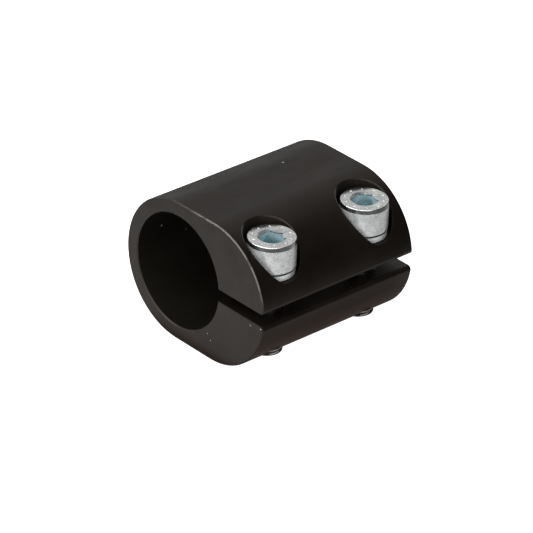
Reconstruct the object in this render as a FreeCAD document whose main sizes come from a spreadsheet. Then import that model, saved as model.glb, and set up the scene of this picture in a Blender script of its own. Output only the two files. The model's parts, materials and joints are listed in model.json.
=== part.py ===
import FreeCAD, Part
import math
import os
import Sketcher

# Two-screw shaft collar: a split clamp body and two socket head cap screws, each on a spring lock washer.
# Frame: the origin is the middle of the bore. +X points to the slot's mouth, +Y runs along the bore,
# and +Z points up along the screws, towards their heads. All sizes are in millimetres.

DIMENSIONS = {
    # Clamp body
    "bore_diameter": 32,
    "body_height": 40,
    "arc_spacing": 13.5,
    "body_length": 52,
    "slot_width": 3.5,
    "slot_edge_radius": 1.2,
    "end_chamfer": 0.3,
    "rim_chamfer": 0.25,
    # Screw positions and the holes that they go through
    "screw_offset": 24.5,
    "screw_spacing": 32,
    "seat_height": 7.75,
    "counterbore_diameter": 15,
    "clearance_diameter": 9,
    "tapping_diameter": 6.65,
    "tapped_countersink": 8.6,
    # M8 socket head cap screw
    "thread_diameter": 8,
    "thread_pitch": 1.25,
    "thread_allowance": 0.08,
    "crest_allowance": 0.05,
    "head_diameter": 13,
    "head_height": 8,
    "head_taper_width": 0.15,
    "head_taper_height": 1.2,
    "head_edge_radius": 0.2,
    "face_dot_circle": 10.2,
    "face_dot_diameter": 0.6,
    "face_dot_depth": 0.15,
    "underhead_radius": 0.3,
    "screw_length": 25.4,
    "runout_length": 2.5,
    "tip_chamfer": 0.5,
    "socket_width": 6,
    "socket_depth": 4.6,
    "socket_countersink": 7.5,
    "socket_drill": 5.8,
    # Spring lock washer, pressed flat
    "washer_bore": 8.3,
    "washer_diameter": 12.7,
    "washer_thickness": 2,
    "washer_gap": 0.9,
    "washer_gap_lean": 0.7,
    "washer_chamfer": 0.2,
}

# Each screw: its end of the collar, and the angles about +Z, in degrees, of its socket and its washer's gap.
SCREWS = {
    "front": {"side": -1, "socket_angle": 26, "gap_angle": 200},
    "rear": {"side": 1, "socket_angle": 42, "gap_angle": 155},
}

# The tapped thread starts this many turns below the screw's tip.
# The half turn puts its groove on the screw's ridge.
TAPPED_START_TURNS = 4.5
SOCKET_SIDES = 6
FACE_DOTS = 10
FLANK_ANGLE = 30
# Depth of the screw's thread, in pitches.
THREAD_DEPTH = 0.6134
SOCKET_CONE_SLOPE = 30
EDGE_TOLERANCE = 1e-3
ORIGIN_POINT = (-1, 1)
HORIZONTAL_AXIS = -1
VERTICAL_AXIS = -2

doc = FreeCAD.newDocument("ShaftCollar")


def make_sheet():
    """Put the driving dimensions in a spreadsheet, one named cell each."""
    sheet = doc.addObject("Spreadsheet::Sheet", "dims")
    for row, (alias, value) in enumerate(DIMENSIONS.items(), start=1):
        sheet.set(f"A{row}", alias)
        sheet.set(f"B{row}", str(value))
        sheet.setAlias(f"B{row}", alias)
    doc.recompute()
    return sheet


def new_body(label):
    body = doc.addObject("PartDesign::Body", label)
    body.Label = label
    return body


def new_sketch(body, name, role, **offset):
    """Attach a sketch to one of the body's origin planes, moved by formulas for its x, y and z."""
    sketch = body.newObject("Sketcher::SketchObject", name)
    plane = next(item for item in body.Origin.OriginFeatures if item.Role == role)
    sketch.AttachmentSupport = (plane, [""])
    sketch.MapMode = "FlatFace"
    for direction, formula in offset.items():
        sketch.setExpression(f"AttachmentOffset.Base.{direction}", formula)
    return sketch


def place_point(sketch, geometry, point, x_formula, y_formula):
    """Fix a point of the sketch at the place that two formulas give; 0 puts it on the axis itself."""
    directions = (("DistanceX", VERTICAL_AXIS, x_formula), ("DistanceY", HORIZONTAL_AXIS, y_formula))
    for kind, axis, formula in directions:
        if formula == "0":
            sketch.addConstraint(Sketcher.Constraint("PointOnObject", geometry, point, axis))
            continue
        constraint = Sketcher.Constraint(kind, *ORIGIN_POINT, geometry, point, 1.0)
        index = sketch.addConstraint(constraint)
        sketch.setExpression(f"Constraints[{index}]", formula)


def add_outline(sketch, corners):
    """Draw a closed outline of straight lines through corners, each given as two formulas."""
    count = len(corners)
    angles = [2 * math.pi * index / count for index in range(count)]
    start = [FreeCAD.Vector(math.cos(angle), math.sin(angle), 0) for angle in angles]
    first = sketch.GeometryCount
    for index in range(count):
        sketch.addGeometry(Part.LineSegment(start[index], start[(index + 1) % count]), False)
    for index in range(count):
        following = first + (index + 1) % count
        sketch.addConstraint(Sketcher.Constraint("Coincident", first + index, 2, following, 1))
    for index, (x_formula, y_formula) in enumerate(corners):
        place_point(sketch, first + index, 1, x_formula, y_formula)


def add_circle(sketch, x_formula, y_formula, diameter_formula):
    circle = Part.Circle(FreeCAD.Vector(1, 1, 0), FreeCAD.Vector(0, 0, 1), 1)
    index = sketch.addGeometry(circle, False)
    place_point(sketch, index, 3, x_formula, y_formula)
    constraint = sketch.addConstraint(Sketcher.Constraint("Diameter", index, 2.0))
    sketch.setExpression(f"Constraints[{constraint}]", diameter_formula)


def add_feature(body, kind, name, profile, formulas=None, **settings):
    """Add a PartDesign feature, with plain settings and with sizes bound to formulas."""
    feature = body.newObject(f"PartDesign::{kind}", name)
    feature.Profile = profile
    doc.recompute()
    for key, value in settings.items():
        setattr(feature, key, value)
    for key, formula in (formulas or {}).items():
        feature.setExpression(key, formula)
    body.Tip = feature
    doc.recompute()
    return feature


def dress_edges(body, kind, name, size_formula, wanted):
    """Fillet or chamfer the edges of the body's last feature that the function wanted picks."""
    base = body.Tip
    names = [f"Edge{index}" for index, edge in enumerate(base.Shape.Edges, start=1) if wanted(edge)]
    if not names:
        raise RuntimeError(f"{name}: no edge was found")
    feature = body.newObject(f"PartDesign::{kind}", name)
    feature.Base = (base, names)
    feature.setExpression("Radius" if kind == "Fillet" else "Size", size_formula)
    body.Tip = feature
    doc.recompute()
    return feature


def require_cut(feature, before):
    """A cut that points away from the solid removes nothing, so the volume has to fall."""
    if not feature.Shape.Volume < before.Shape.Volume - EDGE_TOLERANCE:
        raise RuntimeError(f"{feature.Label} removed nothing")


def add_cut(body, kind, name, profile, formulas=None, **settings):
    before = body.Tip
    feature = add_feature(body, kind, name, profile, formulas, **settings)
    require_cut(feature, before)
    return feature


def is_close(value, target):
    return abs(value - target) < EDGE_TOLERANCE


def is_circle(edge, radius, height=None):
    """Tell whether an edge is a circle of this radius about +Z, at this height if one is given."""
    if not isinstance(edge.Curve, Part.Circle) or not is_close(edge.Curve.Radius, radius):
        return False
    return height is None or is_close(edge.Curve.Center.z, height)


def draw_body_outline(sketch):
    """Two half circles of the body's height, joined by straight lines: flat above and below."""
    up = FreeCAD.Vector(0, 0, 1)
    spacing, radius = DIMENSIONS["arc_spacing"], DIMENSIONS["body_height"] / 2
    left = Part.Circle(FreeCAD.Vector(0, 0, 0), up, radius)
    right = Part.Circle(FreeCAD.Vector(spacing, 0, 0), up, radius)
    sketch.addGeometry(Part.ArcOfCircle(left, math.pi / 2, 3 * math.pi / 2), False)
    sketch.addGeometry(Part.ArcOfCircle(right, -math.pi / 2, math.pi / 2), False)
    for side in (-1, 1):
        ends = [FreeCAD.Vector(x, side * radius, 0) for x in (0, spacing)]
        sketch.addGeometry(Part.LineSegment(*ends), False)
    joints = ((0, 2, 2, 1), (2, 2, 1, 1), (1, 2, 3, 2), (3, 1, 0, 1))
    for joint in joints:
        sketch.addConstraint(Sketcher.Constraint("Tangent", *joint))
    sketch.addConstraint(Sketcher.Constraint("Coincident", 0, 3, *ORIGIN_POINT))
    place_point(sketch, 1, 3, "dims.arc_spacing", "0")
    for arc in (0, 1):
        radius_index = sketch.addConstraint(Sketcher.Constraint("Radius", arc, radius))
        sketch.setExpression(f"Constraints[{radius_index}]", "dims.body_height / 2")


def cut_screw_holes(body):
    """Counterbored clearance holes down to the slot, then tapped holes down through the lower jaw."""
    hole_places = [("dims.screw_offset", f"{side} * dims.screw_spacing / 2") for side in (-1, 1)]

    upper = new_sketch(body, "UpperHoleCentres", "XY_Plane", z="dims.body_height / 2")
    lower = new_sketch(body, "LowerHoleCentres", "XY_Plane", z="-dims.slot_width / 2")
    for sketch in (upper, lower):
        for place in hole_places:
            add_circle(sketch, *place, "dims.thread_diameter")

    add_cut(
        body, "Hole", "ScrewClearance", upper,
        {
            "Diameter": "dims.clearance_diameter",
            "Depth": "dims.body_height / 2",
            "HoleCutDiameter": "dims.counterbore_diameter",
            "HoleCutDepth": "dims.body_height / 2 - dims.seat_height",
        },
        ThreadType="None", DepthType="Dimension", DrillPoint="Flat",
        HoleCutType="Counterbore", HoleCutCustomValues=True,
    )
    add_cut(
        body, "Hole", "TappingHoles", lower,
        {
            "Diameter": "dims.tapping_diameter",
            "HoleCutDiameter": "dims.tapped_countersink",
            "HoleCutCountersinkAngle": "90",
        },
        ThreadType="None", DepthType="ThroughAll",
        HoleCutType="Countersink", HoleCutCustomValues=True,
    )


def cut_internal_thread(body):
    """M8 thread in the lower jaw, in phase with the screws and clear of them by the allowance."""
    sketch = new_sketch(
        body, "InternalThreadProfile", "XZ_Plane",
        x="dims.screw_offset",
        z="dims.screw_spacing / 2",
    )
    screw_tip = "dims.seat_height + dims.washer_thickness - dims.screw_length"
    middle = f"({screw_tip} - {TAPPED_START_TURNS} * dims.thread_pitch)"
    inner = "(dims.tapping_diameter / 2 - dims.thread_allowance)"
    outer = "(dims.thread_diameter / 2 + dims.thread_allowance)"
    spread = f"tan({FLANK_ANGLE})"
    gap = f"dims.thread_allowance / cos({FLANK_ANGLE})"
    crest = f"dims.thread_pitch / 16 + {gap}"
    half_outer = f"({crest} - dims.thread_allowance * {spread})"
    half_inner = f"({crest} + (dims.thread_diameter / 2 - {inner}) * {spread})"
    add_outline(sketch, [
        (inner, f"{middle} - {half_inner}"),
        (outer, f"{middle} - {half_outer}"),
        (outer, f"{middle} + {half_outer}"),
        (inner, f"{middle} + {half_inner}"),
    ])
    thread = add_cut(
        body, "SubtractiveHelix", "InternalThread", sketch,
        {"Pitch": "dims.thread_pitch", "Height": f"-{middle} - dims.thread_pitch / 2"},
        ReferenceAxis=(sketch, ["V_Axis"]), Mode="pitch-height-angle",
    )
    pattern = body.newObject("PartDesign::LinearPattern", "BothThreads")
    pattern.Originals = [thread]
    y_axis = next(item for item in body.Origin.OriginFeatures if item.Role == "Y_Axis")
    pattern.Direction = (y_axis, [""])
    pattern.setExpression("Length", "dims.screw_spacing")
    pattern.Occurrences = 2
    body.Tip = pattern
    doc.recompute()
    require_cut(pattern, thread)


def make_clamp_body():
    """The split block: outline, bore, slot, screw holes and threads, then the broken edges."""
    body = new_body("clamp_body")
    outline = new_sketch(body, "BodyOutline", "XZ_Plane")
    draw_body_outline(outline)
    add_feature(body, "Pad", "Block", outline, {"Length": "dims.body_length"}, Midplane=True)

    bore = new_sketch(body, "BoreCircle", "XZ_Plane")
    add_circle(bore, "0", "0", "dims.bore_diameter")
    add_cut(body, "Pocket", "Bore", bore, Type="ThroughAll", Midplane=True)

    slot = new_sketch(body, "SlotOutline", "XZ_Plane")
    mouth = "dims.arc_spacing + dims.body_height"
    add_outline(slot, [
        ("0", "-dims.slot_width / 2"),
        (mouth, "-dims.slot_width / 2"),
        (mouth, "dims.slot_width / 2"),
        ("0", "dims.slot_width / 2"),
    ])
    add_cut(body, "Pocket", "Slot", slot, Type="ThroughAll", Midplane=True)

    half_length = DIMENSIONS["body_length"] / 2
    half_slot = DIMENSIONS["slot_width"] / 2
    bore_radius = DIMENSIONS["bore_diameter"] / 2
    seat_radius = DIMENSIONS["counterbore_diameter"] / 2

    def is_slot_mouth(edge):
        box = edge.BoundBox
        along_slot = is_close(box.ZLength, 0) and is_close(abs(box.Center.z), half_slot)
        return along_slot and is_close(box.XLength, 0) and box.XMin > bore_radius

    def is_end_edge(edge):
        box = edge.BoundBox
        return is_close(box.YLength, 0) and is_close(abs(box.Center.y), half_length)

    def is_counterbore_rim(edge):
        box = edge.BoundBox
        return box.ZMin > half_slot and box.ZLength > 1 and box.YLength > seat_radius

    dress_edges(body, "Fillet", "SlotMouthEdges", "dims.slot_edge_radius", is_slot_mouth)
    dress_edges(body, "Chamfer", "EndEdges", "dims.end_chamfer", is_end_edge)
    cut_screw_holes(body)
    dress_edges(body, "Chamfer", "CounterboreRims", "dims.rim_chamfer", is_counterbore_rim)
    cut_internal_thread(body)
    return body


def make_screw(end, side, socket_angle):
    """Socket head cap screw: turned blank, hexagon socket and cut thread. Its origin is under the head."""
    body = new_body(f"screw_{end}")
    crest = "(dims.thread_diameter / 2 - dims.crest_allowance)"
    blank = new_sketch(body, "Blank", "XZ_Plane")
    add_outline(blank, [
        ("0", "dims.head_height"),
        ("dims.head_diameter / 2 - dims.head_taper_width", "dims.head_height"),
        ("dims.head_diameter / 2", "dims.head_height - dims.head_taper_height"),
        ("dims.head_diameter / 2", "dims.head_edge_radius"),
        ("dims.head_diameter / 2 - dims.head_edge_radius", "0"),
        (crest, "0"),
        (crest, "-dims.screw_length + dims.tip_chamfer"),
        (f"{crest} - dims.tip_chamfer", "-dims.screw_length"),
        ("0", "-dims.screw_length"),
    ])
    add_feature(body, "Revolution", "TurnedBlank", blank, ReferenceAxis=(blank, ["V_Axis"]), Angle=360)

    head_height = DIMENSIONS["head_height"]
    face_radius = DIMENSIONS["head_diameter"] / 2 - DIMENSIONS["head_taper_width"]
    crest_radius = DIMENSIONS["thread_diameter"] / 2 - DIMENSIONS["crest_allowance"]
    dress_edges(
        body, "Fillet", "HeadEdge", "dims.head_edge_radius",
        lambda edge: is_circle(edge, face_radius, head_height),
    )
    dress_edges(
        body, "Fillet", "UnderheadRound", "dims.underhead_radius",
        lambda edge: is_circle(edge, crest_radius, 0),
    )

    socket = new_sketch(body, "SocketHexagon", "XY_Plane", z="dims.head_height")
    corner_radius = f"dims.socket_width / 2 / cos({180 / SOCKET_SIDES})"
    step = 360 / SOCKET_SIDES
    corner_angles = [socket_angle + step * index for index in range(SOCKET_SIDES)]
    add_outline(socket, [
        (f"{corner_radius} * cos({angle})", f"{corner_radius} * sin({angle})")
        for angle in corner_angles
    ])
    add_cut(body, "Pocket", "Socket", socket, {"Length": "dims.socket_depth"}, Type="Length")

    cones = new_sketch(body, "SocketCones", "XZ_Plane")
    slope = f"tan({SOCKET_CONE_SLOPE})"
    floor = "(dims.head_height - dims.socket_depth)"
    add_outline(cones, [
        ("0", "dims.head_height"),
        ("dims.socket_countersink / 2", "dims.head_height"),
        ("0", f"dims.head_height - dims.socket_countersink / 2 * {slope}"),
    ])
    add_cut(body, "Groove", "SocketEntry", cones, ReferenceAxis=(cones, ["V_Axis"]), Angle=360)
    drill = new_sketch(body, "SocketDrillPoint", "XZ_Plane")
    add_outline(drill, [
        ("0", floor),
        ("dims.socket_drill / 2", floor),
        ("0", f"{floor} - dims.socket_drill / 2 * {slope}"),
    ])
    add_cut(body, "Groove", "DrillPoint", drill, ReferenceAxis=(drill, ["V_Axis"]), Angle=360)

    dots = new_sketch(body, "FaceDotCentres", "XY_Plane", z="dims.head_height")
    for index in range(FACE_DOTS):
        angle = 360 / FACE_DOTS * index
        add_circle(
            dots,
            f"dims.face_dot_circle / 2 * cos({angle})",
            f"dims.face_dot_circle / 2 * sin({angle})",
            "dims.face_dot_diameter",
        )
    add_cut(
        body, "Hole", "FaceDots", dots,
        {"Diameter": "dims.face_dot_diameter", "Depth": "dims.face_dot_depth"},
        ThreadType="None", DepthType="Dimension", DrillPoint="Angled",
    )

    cut_external_thread(body)
    body.setExpression("Placement.Base.x", "dims.screw_offset")
    body.setExpression("Placement.Base.y", f"{side} * dims.screw_spacing / 2")
    body.setExpression("Placement.Base.z", "dims.seat_height + dims.washer_thickness")
    return body


def cut_external_thread(body):
    """M8 thread along the shank, from below the tip up to the run-out under the head."""
    sketch = new_sketch(body, "ThreadProfile", "XZ_Plane")
    middle = "(-dims.screw_length - dims.thread_pitch)"
    outer = "(dims.thread_diameter / 2 + dims.crest_allowance)"
    root = f"(dims.thread_diameter / 2 - {THREAD_DEPTH} * dims.thread_pitch)"
    spread = f"tan({FLANK_ANGLE})"
    crest_gap = "dims.thread_pitch * 7 / 16"
    half_outer = f"({crest_gap} + dims.crest_allowance * {spread})"
    half_root = f"({crest_gap} - {THREAD_DEPTH} * dims.thread_pitch * {spread})"
    add_outline(sketch, [
        (root, f"{middle} - {half_root}"),
        (outer, f"{middle} - {half_outer}"),
        (outer, f"{middle} + {half_outer}"),
        (root, f"{middle} + {half_root}"),
    ])
    add_cut(
        body, "SubtractiveHelix", "Thread", sketch,
        {
            "Pitch": "dims.thread_pitch",
            "Height": "dims.screw_length + dims.thread_pitch - dims.runout_length",
        },
        ReferenceAxis=(sketch, ["V_Axis"]), Mode="pitch-height-angle",
    )


def make_washer(end, side, gap_angle):
    """Spring lock washer pressed flat, with a leaning gap. Its origin is the middle of its underside."""
    body = new_body(f"washer_{end}")
    section = new_sketch(body, "RingSection", "XZ_Plane")
    inner, outer = "dims.washer_bore / 2", "dims.washer_diameter / 2"
    top = "dims.washer_thickness"
    chamfer = "dims.washer_chamfer"
    add_outline(section, [
        (f"{inner} + {chamfer}", "0"),
        (f"{outer} - {chamfer}", "0"),
        (outer, chamfer),
        (outer, f"{top} - {chamfer}"),
        (f"{outer} - {chamfer}", top),
        (f"{inner} + {chamfer}", top),
        (inner, f"{top} - {chamfer}"),
        (inner, chamfer),
    ])
    add_feature(body, "Revolution", "Ring", section, ReferenceAxis=(section, ["V_Axis"]), Angle=360)

    gap = new_sketch(body, "GapOutline", "XZ_Plane")
    half_gap = "dims.washer_gap / 2"
    lean = "dims.washer_gap_lean"
    add_outline(gap, [
        (f"-{half_gap} + {lean}", f"-{top}"),
        (f"{half_gap} + {lean}", f"-{top}"),
        (f"{half_gap} - {lean}", f"2 * {top}"),
        (f"-{half_gap} - {lean}", f"2 * {top}"),
    ])
    add_cut(
        body, "Pocket", "Gap", gap, {"Length": "dims.washer_diameter"},
        Type="Length", Reversed=True,
    )
    body.Placement.Rotation = FreeCAD.Rotation(FreeCAD.Vector(0, 0, 1), gap_angle)
    body.setExpression("Placement.Base.x", "dims.screw_offset")
    body.setExpression("Placement.Base.y", f"{side} * dims.screw_spacing / 2")
    body.setExpression("Placement.Base.z", "dims.seat_height")
    return body


def check_document():
    """Stop if an object failed to recompute, or if a sketch isn't held by its dimensions alone."""
    for item in doc.Objects:
        if "Invalid" in item.State or "Error" in item.State:
            raise RuntimeError(f"{item.Name} failed: {item.State}")
        if item.TypeId == "Sketcher::SketchObject" and not item.FullyConstrained:
            raise RuntimeError(f"{item.Name} still has freedom left")


def write_parts(pieces):
    """Write each piece's solid to its own STEP file, once all of them are sound."""
    for piece in pieces:
        shape = piece.Shape
        if shape.isNull() or not shape.isValid() or len(shape.Solids) != 1:
            raise RuntimeError(f"{piece.Label} isn't one valid solid")
    os.makedirs("parts", exist_ok=True)
    for piece in pieces:
        piece.Shape.exportStep(f"parts/{piece.Label}.step")
        box = piece.Shape.BoundBox
        print(f"{piece.Label}: {piece.Shape.Volume:.1f} mm3, x {box.XMin:.2f} to {box.XMax:.2f},"
              f" y {box.YMin:.2f} to {box.YMax:.2f}, z {box.ZMin:.2f} to {box.ZMax:.2f}")


make_sheet()
all_pieces = [make_clamp_body()]
for end_name, screw in SCREWS.items():
    all_pieces.append(make_screw(end_name, screw["side"], screw["socket_angle"]))
    all_pieces.append(make_washer(end_name, screw["side"], screw["gap_angle"]))
doc.recompute()
check_document()
write_parts(all_pieces)
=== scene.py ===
import json
import math

import bpy
from mathutils import Matrix, Vector


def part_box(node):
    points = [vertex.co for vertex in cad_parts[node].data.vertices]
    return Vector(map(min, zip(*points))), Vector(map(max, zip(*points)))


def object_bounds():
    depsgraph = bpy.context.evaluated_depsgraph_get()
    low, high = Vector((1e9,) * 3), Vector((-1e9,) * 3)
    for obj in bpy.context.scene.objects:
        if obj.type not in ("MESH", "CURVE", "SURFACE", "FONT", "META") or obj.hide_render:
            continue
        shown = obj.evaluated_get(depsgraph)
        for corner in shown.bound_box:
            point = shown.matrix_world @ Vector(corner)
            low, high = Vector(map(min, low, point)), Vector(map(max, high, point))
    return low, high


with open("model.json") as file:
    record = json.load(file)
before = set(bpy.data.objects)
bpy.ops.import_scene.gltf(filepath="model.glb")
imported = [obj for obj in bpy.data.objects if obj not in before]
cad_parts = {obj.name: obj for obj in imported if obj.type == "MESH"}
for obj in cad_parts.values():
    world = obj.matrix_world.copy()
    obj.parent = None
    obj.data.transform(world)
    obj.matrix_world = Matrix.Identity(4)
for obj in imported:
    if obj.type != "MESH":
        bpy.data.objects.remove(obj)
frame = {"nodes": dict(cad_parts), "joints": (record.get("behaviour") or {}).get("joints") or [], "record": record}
cad_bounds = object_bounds()

MM = 0.001

# Places and sizes on the part, in metres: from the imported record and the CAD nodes, and below those
# the ones that neither of them says.
MOUNTS = {mount["name"]: mount for mount in frame["record"]["mounts"]}
JOINTS = {joint["name"]: joint for joint in frame["joints"]}
BORE_RADIUS = MOUNTS["bore"]["dims"]["r_mm"] * MM
SCREW_X, SCREW_Y, HEAD_UNDERSIDE = JOINTS["screw_rear_turn"]["pos_m"]
HEAD_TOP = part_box("screw_rear")[1].z
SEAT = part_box("washer_rear")[0].z
MIDDLE_X = (cad_bounds[0][0] + cad_bounds[1][0]) / 2
HALF_WIDTH = (cad_bounds[1][0] - cad_bounds[0][0]) / 2
HALF_LENGTH = cad_bounds[1][1]
COUNTERBORE_RADIUS = 7.5 * MM
HEAD_RADIUS = 6.5 * MM
DIMPLE_CIRCLE_RADIUS = 5.1 * MM
SOCKET_REACH = 4.2 * MM
THREAD_CREST_RADIUS = 3.9 * MM
THREAD_ROOT_RADIUS = 3.3 * MM

# The floor lies a little lower than the flat that rests on it, so that the two never coincide.
FLOOR_Z = cad_bounds[0][2] - 0.02 * MM


# ---------------------------------------------------------------- camera

CAMERA_AZIMUTH = math.radians(47.14)
CAMERA_ELEVATION = math.radians(29.625)
CAMERA_ROLL = math.radians(2.33)
CAMERA_PLACE = Vector((629.31, -578.64, 478.60)) * MM
CAMERA_LENS = 252.85


def add_camera():
    """Long lens from above the front of the slot, rolled a little."""
    away = Vector((
        math.sin(CAMERA_AZIMUTH) * math.cos(CAMERA_ELEVATION),
        -math.cos(CAMERA_AZIMUTH) * math.cos(CAMERA_ELEVATION),
        math.sin(CAMERA_ELEVATION),
    ))
    level = Vector((0, 0, 1)).cross(away).normalized()
    upright = away.cross(level)
    right = level * math.cos(CAMERA_ROLL) + upright * math.sin(CAMERA_ROLL)
    up = away.cross(right)
    data = bpy.data.cameras.new("camera")
    data.lens = CAMERA_LENS
    data.sensor_width = 36
    data.clip_start = 0.05
    data.clip_end = 20
    camera = bpy.data.objects.new("camera", data)
    turn = Matrix((right, up, away)).transposed().to_4x4()
    camera.matrix_world = Matrix.Translation(CAMERA_PLACE) @ turn
    bpy.context.scene.collection.objects.link(camera)
    bpy.context.scene.camera = camera


# ---------------------------------------------------------------- node trees

class Nodes:
    """Writes a node tree: each helper adds nodes and returns the socket that carries the result."""

    def __init__(self, tree):
        self.tree = tree
        tree.nodes.clear()

    def put(self, socket, value):
        if isinstance(value, bpy.types.NodeSocket):
            self.tree.links.new(value, socket)
        else:
            socket.default_value = value

    def add(self, kind, inputs=None, **settings):
        node = self.tree.nodes.new(kind)
        for key, value in settings.items():
            setattr(node, key, value)
        for key, value in (inputs or {}).items():
            self.put(node.inputs[key], value)
        return node

    def math(self, operation, first, second=0.0):
        inputs = {0: first, 1: second}
        return self.add("ShaderNodeMath", inputs, operation=operation).outputs[0]

    def times(self, *factors):
        """The product of two values or more."""
        product = factors[0]
        for factor in factors[1:]:
            product = self.math("MULTIPLY", product, factor)
        return product

    def vector(self, operation, first, second=(0, 0, 0)):
        node = self.add("ShaderNodeVectorMath", {0: first, 1: second}, operation=operation)
        return node.outputs["Value" if operation in ("DOT_PRODUCT", "LENGTH") else "Vector"]

    def ramp(self, value, low, high, start=0.0, end=1.0):
        """Carry low..high smoothly over to start..end."""
        inputs = {"Value": value, "From Min": low, "From Max": high, "To Min": start, "To Max": end}
        node = self.add("ShaderNodeMapRange", inputs, interpolation_type="SMOOTHSTEP")
        return node.outputs["Result"]

    def mix(self, factor, first, second):
        node = self.add("ShaderNodeMix", data_type="RGBA")
        for index, value in ((0, factor), (6, first), (7, second)):
            self.put(node.inputs[index], value)
        return node.outputs[2]

    def noise(self, vector, scale, detail=2.0, roughness=0.5):
        inputs = {"Vector": vector, "Scale": scale, "Detail": detail, "Roughness": roughness}
        return self.add("ShaderNodeTexNoise", inputs).outputs["Fac"]

    def lines(self, value, scale):
        """Noise that changes only with one value, such as a radius or a place along the bore."""
        inputs = {"W": value, "Scale": scale, "Detail": 2}
        return self.add("ShaderNodeTexNoise", inputs, noise_dimensions="1D").outputs["Fac"]

    def split(self, vector):
        return self.add("ShaderNodeSeparateXYZ", {0: vector}).outputs

    def join(self, x, y):
        return self.add("ShaderNodeCombineXYZ", {0: x, 1: y}).outputs[0]

    def bump(self, height, distance, normal=None):
        inputs = {"Height": height, "Strength": 1.0, "Distance": distance}
        if normal is not None:
            inputs["Normal"] = normal
        return self.add("ShaderNodeBump", inputs).outputs["Normal"]

    def near(self, value, centre, reach):
        """1 where value is at centre, falling to 0 at reach on either side."""
        away = self.math("ABSOLUTE", self.math("SUBTRACT", value, centre))
        return self.ramp(away, reach, 0.0)


def new_material(name):
    material = bpy.data.materials.new(name)
    material.use_nodes = True
    return material, Nodes(material.node_tree)


def screw_distance(nodes, place):
    """Distance from the nearer screw's axis, and height. The two are mirrored across y = 0."""
    axes = nodes.split(place)
    along_x = nodes.math("SUBTRACT", axes["X"], SCREW_X)
    along_y = nodes.math("SUBTRACT", nodes.math("ABSOLUTE", axes["Y"]), SCREW_Y)
    return nodes.vector("LENGTH", nodes.join(along_x, along_y)), axes["Z"]


# ---------------------------------------------------------------- materials

# Black anodising. Tones are linear colours, and depths are the heights of bumps.
BLACK = (0.0040, 0.0028, 0.0020, 1)
BLACK_CLOUD = (0.0068, 0.0049, 0.0037, 1)
# Painted light: the bore's wall is coloured lighter than the rest, as if lit inside.
BLACK_LIT_IN_BORE = (0.007, 0.006, 0.0045, 1)
# Painted highlight: the chamfers at the ends are coloured lighter, standing in for their edge highlights.
BLACK_CHAMFER_HIGHLIGHT = (0.018, 0.016, 0.014, 1)
# Partly wear, partly painted highlight: ragged light edges on the upper jaw's chamfers beside the slot and on the
# near rims of the counterbores.
WORN_EDGE_AND_HIGHLIGHT = (0.15, 0.14, 0.13, 1)
BRIGHT_SPECK = (0.25, 0.24, 0.22, 1)
BARE_NICK = (0.4, 0.38, 0.36, 1)
ANODISED_SHEEN = (1.0, 0.88, 0.80, 1)
ANODISED_ROUGHNESS = (0.34, 0.44)
COUNTERBORE_EXTRA_ROUGHNESS = 0.25
LIP_EXTRA_ROUGHNESS = 0.35
MACHINING_DEPTH = 0.012 * MM
GRAIN_DEPTH = 0.009 * MM
CHAMFER_FACING = 0.707

# Nicks that show bare metal on the front end: place and radius, in metres. Each is bare out to
# NICK_CORE of its radius and fades beyond.
NICK_CORE = 0.6
NICKS = (
    ((0.03249, -0.0259, -0.00229), 0.00025),
    ((0.01251, -0.0260, -0.01278), 0.00018),
    ((0.01375, -0.0260, -0.01430), 0.00018),
)

# Zinc plating. A share is how far the tone goes over to the colour named before it.
SOCKET_BLUE = (0.58, 0.78, 0.82, 1)
# Painted shade: the socket's blue darkens further down.
SOCKET_DEEP_SHADE = (0.22, 0.36, 0.40, 1)
# Painted shade in the thread's roots.
THREAD_ROOT_SHADE = (0.16, 0.165, 0.165, 1)
# Painted highlight on the dimples of the head's face.
DIMPLE_HIGHLIGHT = (1.0, 1.0, 1.0, 1)
# Painted shadow at the seam between the head and the washer.
SEAM_SHADOW = (0.03, 0.03, 0.035, 1)
# Painted reflection: the shoulder under the head's top edge is darkened as if it mirrored a dark room.
SHOULDER_DARK_REFLECTION = (0.04, 0.04, 0.045, 1)
SHOULDER_SHARE = 0.5
# Painted shade: the head's side is toned greyer than its top.
HEAD_SIDE_SHADE = (0.45, 0.47, 0.48, 1)
HEAD_SIDE_SHARE = 0.3
SOCKET_SATIN = 0.75
SATIN_METALLIC = 0.45
SATIN_EXTRA_ROUGHNESS = 0.08
FINE_DEPTH = 0.008 * MM
BRUSHED_DEPTH = 0.002 * MM


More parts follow.
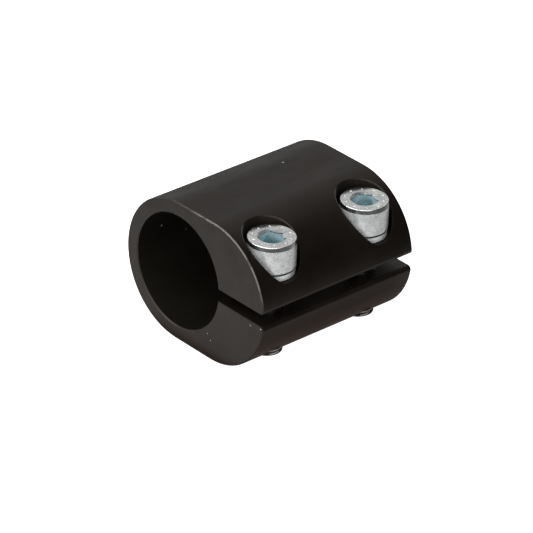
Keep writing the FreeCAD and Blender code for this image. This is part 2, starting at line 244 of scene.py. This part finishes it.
def anodised_masks(nodes, place, facing):
    """Masks for the parts of the body's surface, and the places along and out from the bore."""
    axes = nodes.split(place)
    end_on = nodes.math("ABSOLUTE", nodes.split(facing)["Y"])
    from_middle = nodes.math("ABSOLUTE", axes["Y"])
    at_end = nodes.ramp(from_middle, HALF_LENGTH - 0.45 * MM, HALF_LENGTH - 0.32 * MM)
    bore_distance = nodes.vector("LENGTH", nodes.join(axes["X"], axes["Z"]))
    screw_reach, height = screw_distance(nodes, place)

    rim_radius = COUNTERBORE_RADIUS + 0.12 * MM
    above_seat = nodes.ramp(height, SEAT + 1.0 * MM, SEAT + 2.0 * MM)
    screw_y = nodes.math("MULTIPLY", nodes.math("SIGN", axes["Y"]), SCREW_Y)
    from_screw = nodes.math("SUBTRACT", axes["Y"], screw_y)
    front_of_screw = nodes.ramp(from_screw, -3 * MM, -5.5 * MM)
    in_counterbore = nodes.ramp(screw_reach, rim_radius, COUNTERBORE_RADIUS + 0.02 * MM)
    return {
        "along": axes["Y"],
        "bore_distance": bore_distance,
        "end_face": nodes.times(nodes.ramp(end_on, 0.9, 0.97), at_end),
        "chamfer": nodes.times(nodes.near(end_on, CHAMFER_FACING, 0.2), at_end),
        "bore": nodes.ramp(bore_distance, BORE_RADIUS + 0.25 * MM, BORE_RADIUS + 0.05 * MM),
        "rim": nodes.times(
            nodes.near(screw_reach, rim_radius, 0.2 * MM), above_seat, front_of_screw,
        ),
        "hole": nodes.times(in_counterbore, nodes.ramp(height, SEAT - 0.2 * MM, SEAT)),
        "slot_side": nodes.ramp(axes["X"], 0.0, 12 * MM, 0.1, 1.0),
        "upper_jaw": nodes.ramp(axes["Z"], 3 * MM, 9 * MM),
    }


def anodised_normal(nodes, place, masks):
    """Fine grain under the machining's lines: along the drawn skin, round the ends and the bore."""
    drawn = nodes.noise(nodes.vector("MULTIPLY", place, (1, 0.03, 1)), 900, 3, 0.6)
    machined = nodes.math("MAXIMUM", masks["end_face"], masks["bore"])
    skin = nodes.times(drawn, nodes.math("SUBTRACT", 1.0, machined))
    ends = nodes.times(nodes.lines(masks["bore_distance"], 1800), masks["end_face"])
    wall = nodes.times(nodes.lines(masks["along"], 1500), masks["bore"])
    height = nodes.math("ADD", nodes.math("ADD", skin, ends), wall)
    grain = nodes.bump(nodes.noise(place, 2600, 2), GRAIN_DEPTH)
    return nodes.bump(height, MACHINING_DEPTH, grain)


def anodised_tone(nodes, place, masks):
    """Clouded black, lighter in the bore (painted light) and on the chamfers (painted highlight), with worn edges
    that also carry painted highlights, nicks and a few bright specks.
    """
    cloud = nodes.noise(place, 90, 4, 0.6)
    tone = nodes.mix(nodes.ramp(cloud, 0.35, 0.65), BLACK, BLACK_CLOUD)
    # Painted light: the bore is coloured lighter, as if light reached into it.
    tone = nodes.mix(masks["bore"], tone, BLACK_LIT_IN_BORE)
    # Painted highlight: lighter colour on the end chamfers.
    tone = nodes.mix(masks["chamfer"], tone, BLACK_CHAMFER_HIGHLIGHT)

    # Wear and painted highlight: the upper jaw's chamfers beside the slot and the near side of each counterbore's
    # rim are coloured light in ragged patches.
    rubbed_and_highlit = nodes.times(masks["chamfer"], masks["slot_side"], masks["upper_jaw"])
    patches = nodes.ramp(nodes.noise(place, 350, 3), 0.35, 0.5, 0.3, 1.0)
    worn_and_highlit = nodes.times(nodes.math("MAXIMUM", rubbed_and_highlit, masks["rim"]), patches)
    tone = nodes.mix(worn_and_highlit, tone, WORN_EDGE_AND_HIGHLIGHT)
    for nick, size in NICKS:
        from_nick = nodes.vector("LENGTH", nodes.vector("SUBTRACT", place, nick))
        tone = nodes.mix(nodes.ramp(from_nick, size, NICK_CORE * size), tone, BARE_NICK)

    cells = nodes.add("ShaderNodeTexVoronoi", {"Vector": place, "Scale": 130, "Randomness": 1.0})
    speck = nodes.ramp(cells.outputs["Distance"], 0.05, 0.03)
    chosen = nodes.ramp(nodes.split(cells.outputs["Color"])["X"], 0.72, 0.74)
    return nodes.mix(nodes.times(speck, chosen), tone, BRIGHT_SPECK)


def anodised_roughness(nodes, place, masks):
    """Smeared satin, rougher in the counterbores and on the chamfers near the slot."""
    smear = nodes.noise(nodes.vector("MULTIPLY", place, (1, 0.3, 1)), 160, 3, 0.6)
    roughness = nodes.ramp(smear, 0.3, 0.7, *ANODISED_ROUGHNESS)
    in_hole = nodes.times(masks["hole"], COUNTERBORE_EXTRA_ROUGHNESS)
    below = nodes.math("SUBTRACT", 1.0, masks["upper_jaw"])
    lip = nodes.times(masks["chamfer"], masks["slot_side"], below)
    on_lip = nodes.times(lip, LIP_EXTRA_ROUGHNESS)
    return nodes.math("ADD", nodes.math("ADD", roughness, in_hole), on_lip)


def black_anodised():
    """Satin black anodised extrusion with turned ends and bore."""
    material, nodes = new_material("black_anodised")
    coordinates = nodes.add("ShaderNodeTexCoord").outputs
    place = coordinates["Object"]
    masks = anodised_masks(nodes, place, coordinates["Normal"])
    surface = nodes.add("ShaderNodeBsdfPrincipled", {
        "Base Color": anodised_tone(nodes, place, masks),
        "Roughness": anodised_roughness(nodes, place, masks),
        "Normal": anodised_normal(nodes, place, masks),
        "IOR": 1.5,
        "Specular IOR Level": 0.31,
        "Specular Tint": ANODISED_SHEEN,
    })
    nodes.add("ShaderNodeOutputMaterial", {"Surface": surface.outputs[0]})
    return material


def zinc_masks(nodes, place):
    """Masks for the parts of a screw and its washer, and the height on them."""
    radius, height = screw_distance(nodes, place)
    below_top = nodes.ramp(height, HEAD_TOP - 0.25 * MM, HEAD_TOP - 0.9 * MM)
    in_head = nodes.ramp(height, HEAD_UNDERSIDE + 0.1 * MM, HEAD_UNDERSIDE + 0.4 * MM)
    in_socket = nodes.times(nodes.ramp(radius, SOCKET_REACH, SOCKET_REACH - 0.3 * MM), below_top)
    in_thread = nodes.ramp(height, HEAD_UNDERSIDE - 0.1 * MM, HEAD_UNDERSIDE - 0.5 * MM)
    in_face = nodes.ramp(height, HEAD_TOP - 0.01 * MM, HEAD_TOP - 0.05 * MM)
    from_seam = nodes.math("ABSOLUTE", nodes.math("SUBTRACT", height, HEAD_UNDERSIDE))
    outside = nodes.ramp(radius, HEAD_RADIUS - 0.9 * MM, HEAD_RADIUS - 0.5 * MM)
    outer = nodes.ramp(radius, HEAD_RADIUS - 0.9 * MM, HEAD_RADIUS - 0.6 * MM)
    below_edge = nodes.ramp(height, HEAD_TOP - 0.12 * MM, HEAD_TOP - 0.25 * MM)
    below_shoulder = nodes.ramp(height, HEAD_TOP - 1.15 * MM, HEAD_TOP - 1.3 * MM)
    side = nodes.times(below_shoulder, outer)
    return {
        "height": height,
        "socket": nodes.times(in_socket, in_head),
        "root": nodes.times(
            nodes.ramp(radius, THREAD_CREST_RADIUS, THREAD_ROOT_RADIUS), in_thread,
        ),
        "dimple": nodes.times(nodes.near(radius, DIMPLE_CIRCLE_RADIUS, 0.45 * MM), in_face),
        "seam": nodes.times(nodes.ramp(from_seam, 0.42 * MM, 0.24 * MM), outside),
        "shoulder": nodes.times(nodes.math("SUBTRACT", below_edge, below_shoulder), outer),
        "side": side,
        "side_of_head": nodes.times(side, in_head),
    }


def zinc_tone(nodes, place, masks, cloud, light, dark):
    """Mottled grey, blue down the socket with painted shade deeper in, painted shade in the thread's roots, a
    painted shadow at the seam and a painted dark reflection on the shoulder round the head, painted shade on the
    head's side and painted highlights on the dimples.
    """
    mottle = nodes.noise(place, 2200, 3, 0.6)
    patchy = nodes.math("ADD", nodes.times(cloud, 0.45), nodes.times(mottle, 0.55))
    tone = nodes.mix(nodes.ramp(patchy, 0.41, 0.59), dark, light)

    # Painted shade: the socket grows darker with depth, along a ragged edge.
    ragged = nodes.ramp(nodes.noise(place, 300, 2), 0.3, 0.7, -0.9 * MM, 0.9 * MM)
    depth = nodes.math("ADD", masks["height"], ragged)
    deep_shade = nodes.ramp(depth, HEAD_TOP - 1.0 * MM, HEAD_TOP - 3.4 * MM)
    tone = nodes.mix(masks["socket"], tone, nodes.mix(deep_shade, SOCKET_BLUE, SOCKET_DEEP_SHADE))

    # Painted shade: the thread's roots are coloured dark.
    tone = nodes.mix(masks["root"], tone, THREAD_ROOT_SHADE)
    # Painted highlight: the dimples are coloured white.
    tone = nodes.mix(masks["dimple"], tone, DIMPLE_HIGHLIGHT)
    # Painted shadow: a dark band where the head meets the washer.
    tone = nodes.mix(masks["seam"], tone, SEAM_SHADOW)
    # Painted dark reflection on the head's shoulder.
    tone = nodes.mix(nodes.times(masks["shoulder"], SHOULDER_SHARE), tone, SHOULDER_DARK_REFLECTION)
    # Painted shade on the head's side.
    return nodes.mix(nodes.times(masks["side_of_head"], HEAD_SIDE_SHARE), tone, HEAD_SIDE_SHADE)


def zinc_plate(name, light, dark, low_roughness, high_roughness):
    """Bright zinc plating with a blue passivation, satin on the head's side and down the socket."""
    material, nodes = new_material(name)
    place = nodes.add("ShaderNodeTexCoord").outputs["Object"]
    masks = zinc_masks(nodes, place)
    cloud = nodes.noise(place, 420, 4, 0.6)
    satin = nodes.math("MAXIMUM", masks["side"], nodes.times(masks["socket"], SOCKET_SATIN))
    brushed = nodes.noise(nodes.vector("MULTIPLY", place, (0.15, 0.15, 1)), 3500, 2)
    fine = nodes.noise(place, 1800, 2)
    gloss = nodes.ramp(cloud, 0.3, 0.7, low_roughness, high_roughness)
    surface = nodes.add("ShaderNodeBsdfPrincipled", {
        "Base Color": zinc_tone(nodes, place, masks, cloud, light, dark),
        "Metallic": nodes.ramp(satin, 0.0, 1.0, 1.0, SATIN_METALLIC),
        "Normal": nodes.bump(fine, FINE_DEPTH, nodes.bump(brushed, BRUSHED_DEPTH)),
        "Roughness": nodes.math("ADD", gloss, nodes.times(satin, SATIN_EXTRA_ROUGHNESS)),
    })
    nodes.add("ShaderNodeOutputMaterial", {"Surface": surface.outputs[0]})
    return material


def paint(node, material):
    for slot in frame["nodes"][node].material_slots:
        slot.material = material


# ---------------------------------------------------------------- stage and light

WHITE = (1, 1, 1, 1)

# The three lights in the world: direction, brightness, and the cosines of the angles from that
# direction where the light starts and where it is full. As the camera sees the part, SOFTBOX is
# large, behind it and to the left, FILL is a little above the camera, and GLINT is small, on the
# near side and to the left.
SOFTBOX = ((-0.80, 0.20, 0.56), 0.56, 0.2, 0.95)
FILL = ((0.46, -0.52, 0.72), 2.8, 0.70, 0.96)
GLINT = ((-0.39, -0.60, 0.70), 6.0, 0.95, 0.985)
ROOM_GLOW = 0.024
ROOM_TONE = (1.0, 0.84, 0.70, 1)

# The floor's glow: brighter towards one side, fading with distance, dim and warm beside the part.
# FLOOR_SIDE and FLOOR_FADE each say from where to where, in metres, and from what to what.
FLOOR_SIZE = 0.7
FLOOR_BRIGHT_SIDE = (-0.42, -0.907, 0)
FLOOR_SIDE = (-90 * MM, 90 * MM, 0.45, 1.0)
FLOOR_FADE = (145 * MM, 88 * MM, 0.04, 1.0)
FLOOR_TONE = (0.1, 0.1, 0.1, 1)
SHADOW_TONE = (1.0, 0.74, 0.64, 1)
SHADOW_WIDTH = 22 * MM
SHADOW_GLOW = 0.28
FRONT_STEEPNESS = 4.0


def floor_openness(nodes, place):
    """0 under the part, rising to 1 where its shadow ends, which is much nearer at the front."""
    axes = nodes.split(place)
    from_middle = nodes.math("ABSOLUTE", nodes.math("SUBTRACT", axes["X"], MIDDLE_X))
    beside = nodes.math("SUBTRACT", from_middle, HALF_WIDTH)
    before = nodes.times(nodes.math("SUBTRACT", -HALF_LENGTH, axes["Y"]), FRONT_STEEPNESS)
    behind = nodes.math("SUBTRACT", axes["Y"], HALF_LENGTH)
    gap = nodes.math("MAXIMUM", beside, nodes.math("MAXIMUM", before, behind))
    return nodes.ramp(gap, 0.0, SHADOW_WIDTH)


def add_floor():
    """Pale table, lit from within. The camera itself sees it evenly white."""
    mesh = bpy.data.meshes.new("floor")
    signs = ((-1, -1), (1, -1), (1, 1), (-1, 1))
    corners = [(x * FLOOR_SIZE, y * FLOOR_SIZE, FLOOR_Z) for x, y in signs]
    mesh.from_pydata(corners, [], [(0, 1, 2, 3)])
    floor = bpy.data.objects.new("floor", mesh)
    bpy.context.scene.collection.objects.link(floor)

    material, nodes = new_material("floor")
    place = nodes.add("ShaderNodeTexCoord").outputs["Object"]
    side = nodes.vector("DOT_PRODUCT", place, FLOOR_BRIGHT_SIDE)
    away = nodes.vector("LENGTH", nodes.vector("MULTIPLY", place, (1, 1, 0)))
    openness = floor_openness(nodes, place)
    glow = nodes.times(
        nodes.ramp(side, *FLOOR_SIDE),
        nodes.ramp(away, *FLOOR_FADE),
        nodes.ramp(openness, 0.0, 1.0, SHADOW_GLOW, 1.0),
    )
    seen = nodes.add("ShaderNodeLightPath").outputs["Is Camera Ray"]
    light = nodes.add("ShaderNodeEmission", {
        "Color": nodes.mix(nodes.math("MAXIMUM", openness, seen), SHADOW_TONE, WHITE),
        "Strength": nodes.math("ADD", glow, seen),
    })
    matt = nodes.add("ShaderNodeBsdfDiffuse", {"Color": FLOOR_TONE})
    both = nodes.add("ShaderNodeAddShader", {0: light.outputs[0], 1: matt.outputs[0]})
    nodes.add("ShaderNodeOutputMaterial", {"Surface": both.outputs[0]})
    mesh.materials.append(material)


def set_world():
    """Three soft lights in a dark, warm room. The camera itself sees it all white."""
    world = bpy.data.worlds.new("studio")
    world.use_nodes = True
    nodes = Nodes(world.node_tree)
    direction = nodes.add("ShaderNodeTexCoord").outputs["Generated"]
    glows = []
    for towards, brightness, start, full in (SOFTBOX, FILL, GLINT):
        cosine = nodes.vector("DOT_PRODUCT", direction, Vector(towards).normalized())
        glows.append(nodes.ramp(cosine, start, full, 0.0, brightness))
    glow = nodes.math("ADD", nodes.math("ADD", glows[0], glows[1]), glows[2])
    lights = nodes.add("ShaderNodeBackground", {"Color": WHITE, "Strength": glow})
    room = nodes.add("ShaderNodeBackground", {"Color": ROOM_TONE, "Strength": ROOM_GLOW})
    lit = nodes.add("ShaderNodeAddShader", {0: lights.outputs[0], 1: room.outputs[0]})
    pale = nodes.add("ShaderNodeBackground", {"Color": WHITE, "Strength": 1.0})
    seen = nodes.add("ShaderNodeLightPath").outputs["Is Camera Ray"]
    chosen = nodes.add("ShaderNodeMixShader", {0: seen, 1: lit.outputs[0], 2: pale.outputs[0]})
    nodes.add("ShaderNodeOutputWorld", {"Surface": chosen.outputs[0]})
    bpy.context.scene.world = world


add_camera()
add_floor()
set_world()
bpy.context.scene.view_settings.view_transform = "Standard"

paint("clamp_body", black_anodised())
screw_metal = zinc_plate(
    "zinc_screw", light=(0.98, 0.99, 0.97, 1), dark=(0.62, 0.65, 0.65, 1),
    low_roughness=0.17, high_roughness=0.26,
)
washer_metal = zinc_plate(
    "zinc_washer", light=(0.96, 1.00, 1.00, 1), dark=(0.82, 0.87, 0.88, 1),
    low_roughness=0.28, high_roughness=0.38,
)
for end in ("front", "rear"):
    paint(f"screw_{end}", screw_metal)
    paint(f"washer_{end}", washer_metal)
